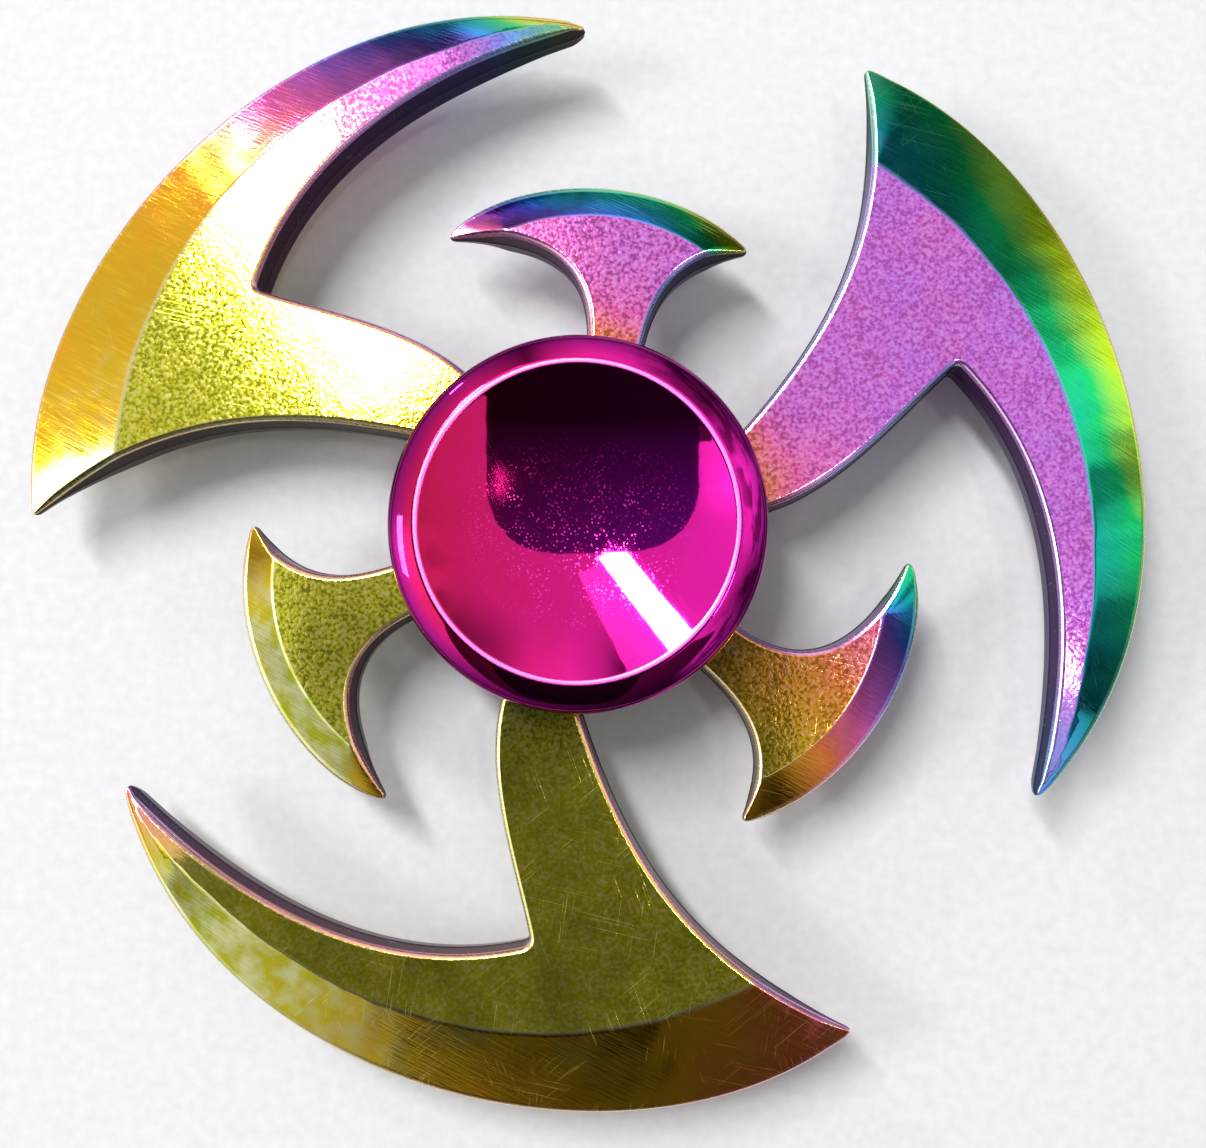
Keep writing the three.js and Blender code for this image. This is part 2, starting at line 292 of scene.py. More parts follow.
def sector_edges():
    """The edges round a third of the casting, each with its shape and its last corner's reach."""
    neck, hook_left = polar(SICKLE_NECK[0]), polar(HOOK_LEFT[-1])
    sector = 2 * math.pi / SECTORS
    middle = (neck[1] + hook_left[1] - sector) / 2
    leading, hook_right = polar(SICKLE_LEADING[-1]), polar(HOOK_RIGHT[0])
    return [
        (arc(HUB_RADIUS, middle, *neck), HUB, 0.5),
        (whole(SICKLE_NECK), SICKLE, 0.6),
        (whole(SICKLE_INNER), SICKLE, 1.2),
        (whole(SICKLE_OUTER), SICKLE, 0.6),
        (whole(SICKLE_LEADING), SICKLE, 0.5),
        (arc(*leading, *hook_right), HUB, 0.5),
        (whole(HOOK_RIGHT), HOOK, 0.8),
        (whole(HOOK_OUTER), HOOK, 0.8),
        (whole(HOOK_LEFT), HOOK, 0.5),
        (arc(*hook_left, HUB_RADIUS, middle + sector), HUB, 0.0),
    ]


def sector_outline():
    """Points round one third of the casting, anticlockwise, and the shape each belongs to."""
    edges = sector_edges()
    points, shapes = [], []
    for i, (line, shape, reach) in enumerate(edges):
        before = edges[i - 1][2] if i else 0.0
        kept = spaced(line, EDGE_STEP, before, reach)
        if i:
            start = points[-1][-1]
            corner = bezier([start, line[0], kept[0]], np.linspace(0, 1, CORNER_STEPS + 1))
            points.append(corner[1:-1])
            shapes.append(np.full(CORNER_STEPS - 1, max(shape, edges[i - 1][1])))
        points.append(kept)
        shapes.append(np.full(len(kept), shape))
    return np.concatenate(points)[:-1], np.concatenate(shapes)[:-1]


def all_round(points):
    """Points of the first sector, repeated in every sector."""
    turn = 2 * math.pi / SECTORS
    return np.concatenate([turned_by(points, turn * k) for k in range(SECTORS)])


def edge_normals(loop):
    """Level normals pointing out of an anticlockwise loop."""
    step = unit(np.roll(loop, -1, axis=0) - loop)
    tangent = unit(step + np.roll(step, 1, axis=0))
    return np.column_stack([tangent[:, 1], -tangent[:, 0]])


def rim_radii(loop, face_height):
    """Radius of the rounded rim at each point of the outline, smaller round sharp tips."""
    step = np.roll(loop, -1, axis=0) - loop
    length = np.hypot(*step.T)
    heading = np.arctan2(step[:, 1], step[:, 0])
    bend = heading - np.roll(heading, 1)
    bend = (bend + math.pi) % (2 * math.pi) - math.pi
    spread = (length + np.roll(length, 1)) / 2
    tightest = 0.75 * spread / np.maximum(bend, 1e-6)
    limit = np.minimum(RIM_ROUND, np.minimum(tightest, 0.8 * face_height))
    along = np.cumsum(length)
    apart = np.abs(along[:, None] - along)
    apart = np.minimum(apart, along[-1] - apart)
    return (limit + RIM_GROWTH * apart).min(1)


def band_profile(radius, height, draft, seam):
    """How far out and how high each row of an edge is, from the mid plane to the face."""
    wall = height - radius
    rows = []
    for share in WALL_SHARES:
        z = wall * share
        proud = seam * np.clip(1 - z / SEAM_HALF, 0, 1)
        rows.append((draft * (1 - share) + proud, z))
    for angle in np.linspace(0, math.pi / 2, ROUND_ROWS + 1):
        drop = radius * (1 - math.sin(angle))
        rows.append((-radius * (1 - math.cos(angle)), height - drop))
    return rows


def profile_normals(out, up):
    """Outward and upward parts of the normals along the rows of a profile."""
    def change(values):
        step = np.diff(values, axis=0)
        return np.vstack([step[:1], step[:-1] + step[1:], step[-1:]])

    turn_out, turn_up = change(up), -change(out)
    size = np.maximum(np.hypot(turn_out, turn_up), 1e-12)
    return turn_out / size, turn_up / size


def edge_band(loop, normals, shapes, radius, draft, seam):
    """Rows of points up the side of the casting, in the first sector."""
    rim_height, _ = face_at(loop - normals * radius[:, None], shapes)
    bulge = np.clip(rim_height - radius, 0, 1)
    out, up = map(np.array, zip(*band_profile(radius, rim_height, draft * bulge, seam * bulge)))
    normal_out, normal_up = profile_normals(out, up)
    rows = []
    for j in range(len(out)):
        flat = loop + normals * out[j][:, None]
        point = np.column_stack([flat, up[j]])
        facing = np.column_stack([normals * normal_out[j][:, None], normal_up[j]])
        _, surface = face_at(flat, shapes)
        if j == 0:
            facing[:, 2] = 0
        if j == len(out) - 1:
            facing = surface
        rounded = (j - len(WALL_SHARES)) / ROUND_ROWS
        rim = np.full(len(flat), smooth(2 - 2 * rounded))
        wall = np.full(len(flat), smooth(1 - 2.5 * rounded))
        rows.append((point, unit(facing), surface, rim, wall))
    return rows


def face_points(outline, shapes):
    """Points across the first sector's faces, denser along the creases."""
    found, owner = [], []
    for shape, root in ROOTS.items():
        polygon = np.vstack([outline[shapes == shape], root])
        low, high = polygon.min(0), polygon.max(0)
        x, y = np.meshgrid(
            np.arange(low[0], high[0], MESH_STEP),
            np.arange(low[1], high[1], MESH_STEP * 0.87),
        )
        x = x + (np.arange(len(x))[:, None] % 2) * MESH_STEP / 2
        grid = np.column_stack([x.ravel(), y.ravel()])
        crease = LINES[shape][1]
        grid = grid[nearest(grid, crease)[0] > CREASE_CLEAR]
        normal = edge_normals(crease)
        normal[0], normal[-1] = normal[1], normal[-2]
        rows = [spaced(crease + normal * offset, CREASE_STEP) for offset in CREASE_ROWS]
        points = np.vstack([grid, *rows])
        points = points[inside(points, polygon)]
        points = points[np.hypot(*points.T) > HUB_RADIUS + 0.1]
        found.append(points)
        owner.append(np.full(len(points), shape))
    for ring in HUB_RINGS:
        angle = np.arange(0, 2 * math.pi / SECTORS, MESH_STEP / ring)
        found.append(np.column_stack([ring * np.cos(angle), ring * np.sin(angle)]))
        owner.append(np.full(len(angle), HUB))
    points, owner = np.vstack(found), np.concatenate(owner)
    distance, _ = nearest(points, np.vstack([outline, outline[:1]]))
    clear = distance > RIM_ROUND + 0.06
    return points[clear], owner[clear]


def mesh_object(name, points, faces, normals=None):
    mesh = bpy.data.meshes.new(name)
    mesh.from_pydata(np.asarray(points) * MM, [], faces)
    mesh.shade_smooth()
    if normals is not None:
        mesh.normals_split_custom_set_from_vertices(np.asarray(normals).tolist())
    piece = bpy.data.objects.new(name, mesh)
    bpy.context.scene.collection.objects.link(piece)
    return piece


def band_faces(first, rows, count):
    """Four-sided faces between rows of points round a closed loop."""
    faces = []
    for j in range(rows - 1):
        low, high = first + j * count, first + (j + 1) * count
        for i in range(count):
            k = (i + 1) % count
            faces.append((low + i, low + k, high + k, high + i))
    return faces


def filled(points, loops):
    """Triangles that fill a face between its outer loop and the bore."""
    flat = [Vector(p) for p in points.tolist()]
    edges = [(int(a), int(b)) for loop in loops for a, b in zip(loop, np.roll(loop, -1))]
    placed, _, faces, source, _, _ = geometry.delaunay_2d_cdt(flat, edges, [], 1, 1e-5)
    triangles = []
    for face in faces:
        corners = np.array([placed[i] for i in face])
        if np.hypot(*corners.mean(0)) < BORE_RADIUS:
            continue
        triangle = [source[i][0] for i in face]
        (ax, ay), (bx, by) = corners[1] - corners[0], corners[2] - corners[0]
        triangles.append(triangle if ax * by > ay * bx else triangle[::-1])
    return triangles


def pebbling(points):
    """Strength of the cast texture on the flat faces: weakest on the front blade."""
    x, y = points[:, 0], points[:, 1]
    behind = fade(y, -17, -12)
    front = behind + (1 - behind) * (0.1 + 0.3 * fade(x, -2, 10))
    right = 1 - 0.3 * fade(x, 10, 18) * fade(y, -18, -14)
    left = 1 - 0.3 * fade(x, -6, -14) * fade(y, 0, 6)
    return front * right * left


def dullness(points):
    """How dull wear has left the flat faces: most on the hook at the front left."""
    x, y = points[:, 0], points[:, 1]
    away = np.hypot(x - WORN_HOOK[0], y - WORN_HOOK[1])
    return 0.12 + 0.02 * fade(y, -17, -22) + 0.26 * fade(away, 12, 9)


def sloping(surface):
    """0 where the face is level and 1 on the polished slopes."""
    return fade(np.hypot(surface[:, 0], surface[:, 1]), 0, SLOPE_TILT)


def flat_film(x, y, to_tip):
    """Film on the flat faces: thin at the front left, thicker at the back right and the tips."""
    along = (x + y) / math.sqrt(2)
    by_hub = fade(np.hypot(x, y), 16, 10) * fade(along, 0, 10)
    return -0.06 + 0.44 * fade(along, -10, 20) - 0.16 * by_hub + 0.26 * fade(to_tip, 10, 0)


def slope_film(points, surface, flat, to_tip):
    """Film on the slopes: thicker where they face right, and thinner facing the front left."""
    x, y = points[:, 0], points[:, 1]
    facing = np.degrees(np.arctan2(surface[:, 1], surface[:, 0]))
    rightward = fade(facing, -60, 30) * fade(facing, 142, 82)
    off_front_left = np.abs((facing - FRONT_LEFT + 180) % 360 - 180)
    fallen = fade(np.abs(points[:, 2]), FLAT_HALF, EDGE_HALF)
    to_hook_tip = np.hypot(x - HOOK_RIGHT_TIP[0], y - HOOK_RIGHT_TIP[1])
    film = 0.08 + flat * (0.65 + 0.35 * fade(x, 0, 12))
    film += 0.22 * rightward + fallen * (0.02 + 0.14 * rightward)
    film -= 0.14 * fade(off_front_left, 50, 0)
    film += 0.15 * fade(x, 2, 16) * fade(y, -24, -28)
    film += 0.08 * fade(x, 22, 28) - 0.07 * fade(x, 12, 16) * fade(y, 20, 28)
    film += 0.13 * fade(to_hook_tip, 8, 0)
    right_tip = fade(y, 0, -10) * fade(x, 0, 12)
    return film + fade(to_tip, 10, 0) * (0.3 * fade(y, 0, 10) - 0.14 * right_tip)


def film_phase(points, surface, facing, rim):
    """Place of the colour film in its run of colours, from 0 for gold to 1."""
    x, y = points[:, 0], points[:, 1]
    long_tips = all_round(np.array([SICKLE_LONG_TIP]))
    to_tip = np.min([np.hypot(x - tip[0], y - tip[1]) for tip in long_tips], axis=0)
    flat = flat_film(x, y, to_tip)
    slope = sloping(surface)
    phase = flat + (slope_film(points, surface, flat, to_tip) - flat) * slope
    outward = np.arctan2(facing[:, 1], facing[:, 0])
    shift = RIM_FILM * (1 + np.cos(outward - math.radians(RIM_FILM_SIDE)))
    return phase + rim * (1 - 0.5 * slope) * shift


def sector_repeated(row):
    """A row of points with its normals, surface normals and shares, in every sector."""
    return [*map(all_round, row[:3]), *(np.tile(share, SECTORS) for share in row[3:])]


def casting_rows():
    """Rows of points up the outer sides, rows up the bore, and the points across the face."""
    outline, shapes = sector_outline()
    loop = all_round(outline)
    normals = edge_normals(loop)[:len(outline)]
    near_height, _ = face_at(outline - normals * 0.3, shapes)
    radii = rim_radii(loop, np.tile(near_height, SECTORS))[:len(outline)]
    outer_rows = edge_band(outline, normals, shapes, radii, DRAFT, SEAM)

    angle = -np.arange(0, 2 * math.pi, MESH_STEP / 2 / BORE_RADIUS)
    bore = BORE_RADIUS * np.column_stack([np.cos(angle), np.sin(angle)])
    hub, rounding = np.full(len(bore), HUB), np.full(len(bore), BORE_ROUND)
    bore_rows = edge_band(bore, -unit(bore), hub, rounding, 0, 0)

    inner, inner_shapes = face_points(outline, shapes)
    height, surface = face_at(inner, inner_shapes)
    none = np.zeros(len(inner))
    face = (np.column_stack([inner, height]), surface, surface, none, none)
    return list(map(sector_repeated, outer_rows)), bore_rows, sector_repeated(face)


def casting():
    """The whole frame: rounded side walls, a filled face above, and its mirror image below."""
    outer_rows, bore_rows, face = casting_rows()
    parts = zip(*outer_rows, *bore_rows, face)
    points, facing, surface, rim, wall = (np.concatenate(part) for part in parts)

    count, rows = len(points), len(outer_rows)
    edge_count, bore_count = len(outer_rows[0][0]), len(bore_rows[0][0])
    bore_first = rows * edge_count
    face_first = bore_first + rows * bore_count
    outer_loop = np.arange(bore_first - edge_count, bore_first)
    used = np.concatenate([outer_loop, np.arange(face_first - bore_count, count)])
    loops = np.split(np.arange(edge_count + bore_count), [edge_count])
    top = [used[triangle].tolist() for triangle in filled(points[used, :2], loops)]
    faces = band_faces(0, rows, edge_count) + band_faces(bore_first, rows, bore_count) + top

    below = np.arange(count) + count
    below[:edge_count] = np.arange(edge_count)
    below[bore_first:bore_first + bore_count] = np.arange(bore_first, bore_first + bore_count)
    faces += [below[list(corners[::-1])].tolist() for corners in faces]
    mirror = np.array([1, 1, -1])
    both, facing_both = np.vstack([points, points * mirror]), np.vstack([facing, facing * mirror])
    piece = mesh_object("frame_casting", both, faces, facing_both)
    layers = {
        "film": film_phase(points, surface, facing, rim),
        "slope": sloping(surface),
        "rim": rim,
        "wall": wall,
        "pebble": pebbling(points),
        "dullness": dullness(points),
    }
    for name, values in layers.items():
        layer = piece.data.attributes.new(name, "FLOAT", "POINT")
        layer.data.foreach_set("value", np.tile(values, 2).astype(np.float32))
    drop_loose(piece)
    return piece


def drop_loose(piece):
    """Removes the points that no face uses."""
    mesh = bmesh.new()
    mesh.from_mesh(piece.data)
    loose = [v for v in mesh.verts if not v.link_faces]
    bmesh.ops.delete(mesh, geom=loose, context="VERTS")
    mesh.to_mesh(piece.data)
    mesh.free()


# ---- Turned, swept and rolled pieces ----

STRAIGHT = 0.985  # how nearly in line two sides are, as a cosine, to need no rounding


def eased(profile, reach, steps=4):
    """A line of points with each sharp corner rounded off."""
    profile = np.asarray(profile, float)
    line = [profile[:1]]
    for before, corner, after in zip(profile, profile[1:], profile[2:]):
        back, on = before - corner, after - corner
        back_size, on_size = np.hypot(*back), np.hypot(*on)
        straightness = -np.dot(back, on) / (back_size * on_size)
        if straightness > STRAIGHT:
            line.append(corner[None])
            continue
        cut = min(reach, 0.4 * back_size, 0.4 * on_size)
        start, end = corner + back / back_size * cut, corner + on / on_size * cut
        line.append(bezier([start, corner, end], np.linspace(0, 1, steps + 1)))
    return np.concatenate(line + [profile[-1:]])


def closed(profile):
    """The same profile, started and ended half-way along its first side."""
    profile = np.asarray(profile, float)
    middle = (profile[0] + profile[1]) / 2
    return np.vstack([middle, profile[1:], profile[:1], middle])


def flipped(profile):
    return np.asarray(profile, float)[::-1] * (1, -1)


def lathe(name, profile, steps):
    """A profile of radius and height, anticlockwise, turned about the spin axis. It ends where
    it starts, or it starts and ends on the axis."""
    profile = np.asarray(profile, float)
    ring = bool(np.allclose(profile[0], profile[-1]))
    step = np.diff(profile, axis=0)
    mean = np.vstack([step[-1:], step]) + np.vstack([step, step[:1]])
    normal = unit(np.column_stack([mean[:, 1], -mean[:, 0]]))
    if ring:
        profile, normal = profile[:-1], normal[:-1]
    else:
        normal[0], normal[-1] = (0, -1), (0, 1)
    angle = np.linspace(0, 2 * math.pi, steps, endpoint=False)
    points, normals, first = [], [], []
    for (radius, height), (out, up) in zip(profile, normal):
        first.append(len(points))
        around = angle if radius > 1e-6 else angle[:1]
        for a in around:
            points.append((radius * math.cos(a), radius * math.sin(a), height))
            normals.append((out * math.cos(a), out * math.sin(a), up))
    faces = []
    rows = len(profile)
    for low in range(rows if ring else rows - 1):
        high = (low + 1) % rows
        for i in range(steps):
            corners = [(low, i), (low, i + 1), (high, i + 1), (high, i)]
            corners = [first[row] + (k % steps if profile[row][0] > 1e-6 else 0) for row, k in corners]
            faces.append(tuple(dict.fromkeys(corners)))
    return mesh_object(name, points, faces, normals)


def swept(name, sections, joined):
    """A solid through sections of equally many points, in a ring or with two flat ends."""
    sections = np.asarray(sections, float)
    count, size = sections.shape[:2]
    faces = band_faces(0, count, size)
    last = (count - 1) * size
    if joined:
        faces += [(last + j, last + (j + 1) % size, (j + 1) % size, j) for j in range(size)]
    else:
        faces += [tuple(range(size - 1, -1, -1)), tuple(range(last, last + size))]
    return mesh_object(name, sections.reshape(-1, 3), faces)


def groove(land_radius, side):
    """The ball groove of a race. side is 1 for the outer race and -1 for the inner one."""
    half = math.acos(side * (land_radius - PITCH_RADIUS) / GROOVE_RADIUS)
    angle = np.linspace(half, -half, 21)
    return np.column_stack([
        PITCH_RADIUS + side * GROOVE_RADIUS * np.cos(angle),
        side * GROOVE_RADIUS * np.sin(angle),
    ])


def outer_race_profile():
    upper = [
        (RACE_OUTER_RADIUS, RACE_HALF),
        (LIP_RADIUS, RACE_HALF),
        (LIP_RADIUS, LIP_HEIGHT),
        (SEAT_RADIUS, LIP_HEIGHT),
        (SEAT_RADIUS, SHIELD_SEAT),
        (OUTER_LAND, SHIELD_SEAT),
    ]
    return closed(np.vstack([upper, groove(OUTER_LAND, 1), flipped(upper)]))


def inner_race_profile():
    return closed(np.vstack([
        (RACE_BORE_RADIUS, RACE_HALF),
        (RACE_BORE_RADIUS, -RACE_HALF),
        (INNER_LAND, -RACE_HALF),
        groove(INNER_LAND, -1),
        (INNER_LAND, RACE_HALF),
    ]))


def shield_profile():
    """A pressed washer with a rolled inner lip and a shallow step."""
    low = SHIELD_SEAT + FIT_GAP
    high = low + SHIELD_THICKNESS
    rim = SEAT_RADIUS - 2 * FIT_GAP
    step = 0.06
    return closed([
        (SHIELD_INNER_RADIUS + 0.3, low),
        (5.2, low),
        (5.35, low + step),
        (rim, low + step),
        (rim, high),
        (5.3, high),
        (5.15, high - step),
        (SHIELD_INNER_RADIUS + 0.25, high - step),
        (SHIELD_INNER_RADIUS + 0.15, high),
        (SHIELD_INNER_RADIUS, high),
        (SHIELD_INNER_RADIUS, low),
    ])


def snap_ring(name, side):
    """An open wire ring of rounded section. side is 1 for the upper one and -1 for the lower."""
    middle = SEAT_RADIUS - 2 * FIT_GAP - SNAP_RING_WIDTH / 2
    level = SHIELD_SEAT + SHIELD_THICKNESS + 2 * FIT_GAP + SNAP_RING_THICKNESS / 2
    around = np.linspace(0, 2 * math.pi, 16, endpoint=False)
    cos, sin = np.cos(around), np.sin(around)
    radius = middle + SNAP_RING_WIDTH / 2 * np.sign(cos) * np.sqrt(np.abs(cos))
    height = side * (level + SNAP_RING_THICKNESS / 2 * np.sign(sin) * np.sqrt(np.abs(sin)))
    sections = []
    for angle in np.linspace(SNAP_RING_GAP / 2, 2 * math.pi - SNAP_RING_GAP / 2, 160):
        across = radius * math.cos(angle), side * radius * math.sin(angle)
        sections.append(np.column_stack([*across, height]))
    return swept(name, sections, False)


def cage_half(name, side):
    """One stamped half of the ball cage: a wavy ribbon with an arch over every ball."""
    under = BALL_RADIUS + CAGE_POCKET_GAP
    over = under + CAGE_THICKNESS
    foot = math.asin(CAGE_SPLIT / under)
    inner, outer = PITCH_RADIUS - CAGE_HALF_WIDTH, PITCH_RADIUS + CAGE_HALF_WIDTH
    radius = np.array([inner, inner, outer, outer])
    sections = []
    for middle in np.arange(BALL_COUNT) * 2 * math.pi / BALL_COUNT:
        for lean in np.linspace(math.pi - foot, foot, 33):
            cos, sin = math.cos(lean), math.sin(lean)
            top = max(over * sin, CAGE_SPLIT + CAGE_THICKNESS)
            along = np.array([under, over, over, under]) * cos
            height = np.array([under * sin, top, top, under * sin])
            angle = -(middle + along / PITCH_RADIUS)
            section = (radius * np.cos(angle), side * radius * np.sin(angle), side * height)
            sections.append(np.column_stack(section))
    return swept(name, sections, True)


def ball(name, index):
    angle = 2 * math.pi * index / BALL_COUNT
    centre = Vector((PITCH_RADIUS * math.cos(angle), PITCH_RADIUS * math.sin(angle), 0))
    mesh = bmesh.new()
    bmesh.ops.create_icosphere(mesh, subdivisions=4, radius=BALL_RADIUS)
    points = [v.co + centre for v in mesh.verts]
    faces = [tuple(v.index for v in face.verts) for face in mesh.faces]
    normals = [v.co.normalized() for v in mesh.verts]
    mesh.free()
    return mesh_object(name, points, faces, normals)


def cap_outside():
    """The cap's section from its seat on the inner race, over the rim and down the dish."""
    radius = np.linspace(CREST_INNER_RADIUS, 0, 61)
    depth = DISH_FLOOR + DISH_DEPTH * (radius / CREST_INNER_RADIUS) ** 2
    dish = np.column_stack([radius, depth])
    return np.vstack([
        (POST_RADIUS, RACE_HALF + FIT_GAP),
        (BOSS_RADIUS, RACE_HALF + FIT_GAP),
        (BOSS_RADIUS, CAP_UNDERSIDE),
        (CAP_RADIUS - CAP_FOOT_ROUND, CAP_UNDERSIDE),
        (CAP_RADIUS, CAP_UNDERSIDE + CAP_FOOT_ROUND),
        whole(CAP_SHOULDER, 28),
        dish[:1],
        dish[2:],  # one point fewer, to leave room for rounding the lip
    ])


def upper_cap_profile():
    inside_hole = [
        (0, THREAD_HOLE_TOP),
        (THREAD_HOLE_RADIUS, THREAD_HOLE_TOP),
        (THREAD_HOLE_RADIUS, FIT_GAP),
        (POST_RADIUS, FIT_GAP),
    ]
    return np.vstack([inside_hole, cap_outside()])


def lower_cap_profile():
    stud = [
        (POST_RADIUS, -FIT_GAP),
        (THREAD_STUD_RADIUS, -FIT_GAP),
        (THREAD_STUD_RADIUS, THREAD_STUD_TOP),
        (0, THREAD_STUD_TOP),
    ]
    return np.vstack([flipped(cap_outside()), stud])


# ---- Materials ----

def linear(*shown):
    """A screen's red, green and blue, from 0 to 255, as the shader takes them."""
    share = np.array(shown) / 255
    values = np.where(share < 0.04045, share / 12.92, ((share + 0.055) / 1.055) ** 2.4)
    return (*values.tolist(), 1.0)


WHITE = (1, 1, 1, 1)

# The casting's plating. Sizes and depths are in millimetres, and turns in degrees.
PEBBLE_SIZE, PEBBLE_DEPTH = 0.24, 0.0085
WAVE_SIZE, WAVE_DEPTH = 1.1, 0.006
STREAK_SIZE, STREAK_DEPTH, STREAK_TURN = (0.12, 2.4, 1.0), 0.008, 62
SCRATCH_WIDTH, SCRATCH_DEPTH = 0.03, 0.001
SCRATCHES = ((20, 9.0, 4.1), (-50, 6.2, 5.3), (77, 11.0, 6.7), (-8, 7.0, 3.7))
PATCH_SIZE = 3.5
HAZE_SIZE = 5.2
PALE_SIZE = 1.6
FILM_SPREAD = 0.09  # how much the film varies over the pebbles, and over patches
# The side walls' colour and tint are painted shade, much darker than the plating.
WALL_PAINTED_SHADE, WALL_SHADE_TINT = linear(20, 12, 38), linear(90, 70, 130)
# Colours of the pebbles' hollows and tops: painted shade and painted highlights.
PIT_SHADE, PEAK_HIGHLIGHT = linear(30, 20, 30), linear(255, 236, 226)
# The slopes' pale colour is painted sheen; the scratches' pale colour is their own.
SLOPE_SHEEN, SCRATCH_PALE = linear(226, 226, 176), linear(240, 236, 170)

# Colours of the plating film from its thinnest to its thickest.
FILM_COLOURS = [
    (-0.15, (150, 178, 44)),
    (-0.02, (206, 192, 44)),
    (0.08, (238, 176, 44)),
    (0.17, (238, 128, 72)),
    (0.28, (236, 104, 176)),
    (0.39, (206, 112, 226)),
    (0.50, (110, 112, 244)),
    (0.57, (60, 160, 244)),
    (0.66, (20, 160, 166)),
    (0.80, (30, 196, 104)),
    (0.90, (176, 216, 40)),
    (1.05, (230, 190, 40)),
]

# The caps' plating. Its colours carry painted light: crimson at -X to a lighter pink at +X, painted
# shade on the shoulder, and a painted highlight line round the dish.
CAP_RED, CAP_PINK = linear(210, 20, 86), linear(246, 25, 178)
SHOULDER_PAINTED_SHADE, CREST_HIGHLIGHT_PINK, DUST_PINK = linear(128, 0, 112), linear(250, 120, 206), linear(216, 90, 220)
DUST_SIZE = 0.24
DUST_PATCH = 1.9
CREST_LINE = (0.08, 0.2)  # half widths of the painted highlight line: its core, and all of it


class Nodes:
    """A tree of shader nodes, and short ways to add to it."""

    def __init__(self, tree):
        self.tree = tree

    def add(self, kind, inputs=(), **settings):
        node = self.tree.nodes.new(kind)
        for key, value in settings.items():
            setattr(node, key, value)
        for key, value in dict(inputs).items():
            self.put(value, node.inputs[key])
        return node

    def put(self, value, socket):
        if isinstance(value, bpy.types.NodeSocket):
            self.tree.links.new(value, socket)
        else:
            socket.default_value = value

    def calc(self, operation, *values, clamp=False):
        node = self.add("ShaderNodeMath", enumerate(values), operation=operation, use_clamp=clamp)
        return node.outputs[0]

    def times(self, first, *others):
        for value in others:
            first = self.calc("MULTIPLY", first, value)
        return first

    def rest(self, share):
        return self.calc("SUBTRACT", 1.0, share)

    def between(self, value, low, high, to_low=0.0, to_high=1.0):
        node = self.add("ShaderNodeMapRange", enumerate((value, low, high, to_low, to_high)))
        return node.outputs[0]

    def ramp(self, value, stops):
        node = self.add("ShaderNodeValToRGB", {0: value})
        marks = node.color_ramp.elements
        while len(marks) < len(stops):
            marks.new(1.0)
        for mark, (at, color) in zip(marks, stops):
            mark.position = at
            mark.color = color
        return node.outputs[0]


class Finish(Nodes):
    """A material, with patterns in millimetres on the object."""

    def __init__(self, name):
        self.material = bpy.data.materials.new(name)
        self.material.use_nodes = True
        super().__init__(self.material.node_tree)
        self.shader = self.tree.nodes["Principled BSDF"]
        self.place = self.add("ShaderNodeTexCoord").outputs["Object"]

    def set(self, **sockets):
        for name, value in sockets.items():
            self.put(value, self.shader.inputs[name.replace("_", " ")])

    def attribute(self, name):
        node = self.add("ShaderNodeAttribute", attribute_name=name, attribute_type="GEOMETRY")
        return node.outputs["Fac"]

    def mapped(self, size, turn):
        """The place on the object, measured in features of this size and turned in degrees."""
        size = size if isinstance(size, tuple) else (size,) * 3
        inputs = {
            "Vector": self.place,
            "Rotation": (0, 0, math.radians(turn)),
            "Scale": [s * MM for s in size],
        }
        return self.add("ShaderNodeMapping", inputs, vector_type="TEXTURE").outputs[0]

    def noise(self, size, detail=1.0, turn=0, rough=0.5):
        vector = self.mapped(size, turn)
        inputs = {"Vector": vector, "Scale": 1.0, "Detail": detail, "Roughness": rough}
        return self.add("ShaderNodeTexNoise", inputs).outputs[0]

    def mix(self, share, first, second):
        inputs = {0: share, 6: first, 7: second}
        return self.add("ShaderNodeMix", inputs, data_type="RGBA").outputs[2]

    def bump(self, height, depth, normal=None):
        """A relief of this depth in millimetres."""
        inputs = {"Height": height, "Strength": 1.0, "Distance": depth * MM}
        if normal is not None:
            inputs["Normal"] = normal
        return self.add("ShaderNodeBump", inputs).outputs[0]


